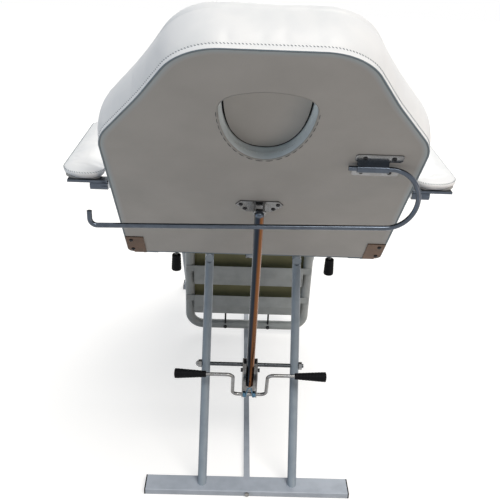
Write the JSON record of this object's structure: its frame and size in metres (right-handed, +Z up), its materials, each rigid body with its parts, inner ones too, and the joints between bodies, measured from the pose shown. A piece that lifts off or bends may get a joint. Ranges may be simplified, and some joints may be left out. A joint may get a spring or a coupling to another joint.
{
  "type": "facial bed",
  "caption": "Padded facial bed with hinged back, leg rest and armrests on a steel tube stand; telescoping props with hand levers, towel bar and a plugged face hole.",
  "frame": {"origin": "on the floor, at the middle of the bed's plan", "axes": "+X to the right seen from the head end, +Y from the head end to the foot end, +Z up"},
  "size_m": [0.814, 1.4264, 1.1829],
  "materials": {
    "grey_paint": "satin powder coat",
    "chrome": "bright chrome plate",
    "steel": "plain steel",
    "black_plastic": "moulded",
    "board": "faced board",
    "white_vinyl": "smooth upholstery vinyl"
  },
  "bodies": {
    "stand": {"head_bar": "grey_paint", "foot_bar": "grey_paint", "end_caps": "black_plastic", "base_beam": "grey_paint", "rear_leg_right": "grey_paint", "rear_leg_left": "grey_paint", "front_leg_right": "grey_paint", "front_leg_left": "grey_paint", "front_tube": "grey_paint", "rail_right": "grey_paint", "rail_left": "grey_paint", "rear_tube": "grey_paint", "lock_tube": "grey_paint", "cross_axle": "chrome", "axle_nuts": "chrome", "seat_board": "board", "seat_cushion": "white_vinyl", "seat_hinges": "grey_paint", "hinge_pins": "steel", "leg_hinge_rod": "steel", "leg_hinge_ears": "grey_paint", "leg_lock_ears": "grey_paint", "leg_lock_pin": "steel", "frame_bolts": "steel"},
    "backrest": {"hinge_arms": "chrome", "back_board": "board", "back_cushion": "white_vinyl", "face_liner": "white_vinyl", "corner_plates": "chrome", "strut_bracket": "chrome", "strut_pin": "steel", "towel_saddle": "chrome", "arm_pins": "chrome", "back_screws": "steel"},
    "plug": {"face_plug": "white_vinyl"},
    "back_strut": {"strut": "chrome", "strut_tip": "chrome"},
    "back_lock": {"lock_channel": "steel", "lock_guide": "steel", "lock_bolts": "steel"},
    "back_handle": {"back_lever": "chrome", "back_lever_grips": "black_plastic"},
    "towel_rail": {"towel_bar": "chrome"},
    "leg_rest": {"leg_frame": "grey_paint", "leg_slats": "grey_paint", "leg_board": "board", "leg_cushion": "white_vinyl", "leg_strut_lugs": "grey_paint", "leg_bolts": "steel"},
    "leg_tube": {"leg_strut_tube": "grey_paint"},
    "leg_rod": {"leg_strut_rod": "chrome"},
    "leg_handle": {"leg_lever": "chrome", "leg_lever_grips": "black_plastic"},
    "armrest_left": {"arm_bracket_left": "chrome", "arm_board_left": "board", "arm_pad_left": "white_vinyl"},
    "armrest_right": {"arm_bracket_right": "chrome", "arm_board_right": "board", "arm_pad_right": "white_vinyl"}
  },
  "joints": [
    {"name": "back_recline", "type": "hinge", "parent": "stand", "child": "backrest", "pos_m": [0, -0.15941, 0.55799], "axis": [-1, 0, 0], "range_deg": [-48.8, 16]},
    {"name": "strut_swing", "type": "hinge", "parent": "backrest", "child": "back_strut", "pos_m": [0, -0.39661, 0.74392], "axis": [-1, 0, 0], "range_deg": [-8.1, 24.5]},
    {"name": "lock_swing", "type": "hinge", "parent": "stand", "child": "back_lock", "pos_m": [0, -0.25142, 0.271], "axis": [-1, 0, 0], "range_deg": [-24.5, 8.1]},
    {"name": "back_release", "type": "hinge", "parent": "back_lock", "child": "back_handle", "pos_m": [0, -0.26055, 0.1866], "axis": [1, 0, 0], "range_deg": [0, 20], "stiffness_Nm_per_rad": 0.5, "springref_deg": -17.19},
    {"name": "plug_lift", "type": "slide", "parent": "backrest", "child": "plug", "axis": [0, 0.7524, 0.6587], "range_m": [0, 0.12]},
    {"name": "towel_swing", "type": "hinge", "parent": "backrest", "child": "towel_rail", "pos_m": [0, -0.51113, 0.88537], "axis": [1, 0, 0], "range_deg": [-40, 28]},
    {"name": "leg_raise", "type": "hinge", "parent": "stand", "child": "leg_rest", "pos_m": [0, 0.28917, 0.507], "axis": [1, 0, 0], "range_deg": [0, 82]},
    {"name": "leg_tube_swing", "type": "hinge", "parent": "stand", "child": "leg_tube", "pos_m": [0, 0.11917, 0.463], "axis": [1, 0, 0], "range_deg": [0, 41.1]},
    {"name": "leg_rod_swing", "type": "hinge", "parent": "leg_rest", "child": "leg_rod", "pos_m": [0, 0.26926, 0.33253], "axis": [1, 0, 0], "range_deg": [-41.1, 0]},
    {"name": "leg_release", "type": "hinge", "parent": "stand", "child": "leg_handle", "pos_m": [0, 0.09317, 0.463], "axis": [1, 0, 0], "range_deg": [0, 14]},
    {"name": "arm_tilt_left", "type": "hinge", "parent": "backrest", "child": "armrest_left", "pos_m": [0, -0.4177, 0.80369], "axis": [1, 0, 0], "range_deg": [-40, 60]},
    {"name": "arm_tilt_right", "type": "hinge", "parent": "backrest", "child": "armrest_right", "pos_m": [0, -0.4177, 0.80369], "axis": [1, 0, 0], "range_deg": [-40, 60]}
  ],
  "couplings": [
    {"joint": "strut_swing", "follows": "back_recline", "ratio": -0.5},
    {"joint": "lock_swing", "follows": "back_recline", "ratio": 0.5},
    {"joint": "leg_tube_swing", "follows": "leg_raise", "ratio": 0.5},
    {"joint": "leg_rod_swing", "follows": "leg_raise", "ratio": -0.5}
  ]
}
